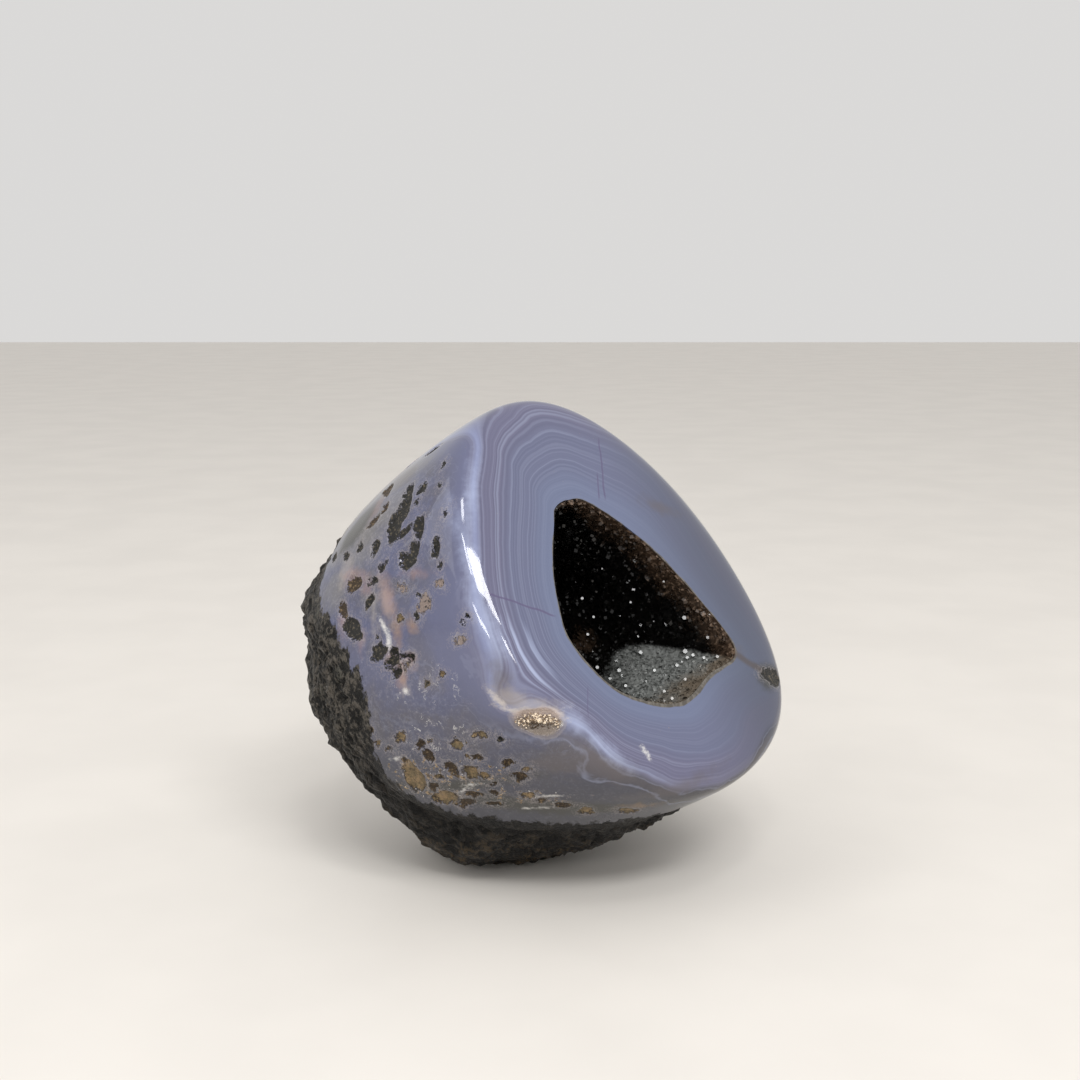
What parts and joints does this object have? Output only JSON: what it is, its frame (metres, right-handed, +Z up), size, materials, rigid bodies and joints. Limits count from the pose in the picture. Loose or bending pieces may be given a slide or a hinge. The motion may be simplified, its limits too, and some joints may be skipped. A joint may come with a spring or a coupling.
{
  "type": "banded agate geode",
  "caption": "Blue-grey banded agate nodule with a polished cut face, rough dark rind behind and an open hollow lined with small quartz crystals; rests on a flat spot.",
  "frame": {"origin": "middle of the stone's box, at the level of its flat resting spot", "axes": "+Z up, -Y towards the viewer, +X to the viewer's right; the cut face with the hollow looks to the front, the right and upwards"},
  "size_m": [0.1191, 0.105, 0.1163],
  "materials": {
    "agate": "polished banded agate, with rough dark rind behind and below",
    "druse": "small sparkling quartz crystals, dark, paler on the floor of the hollow"
  },
  "bodies": {
    "root": {"agate_nodule": "agate", "druzy_crust": "druse"}
  },
  "joints": []
}
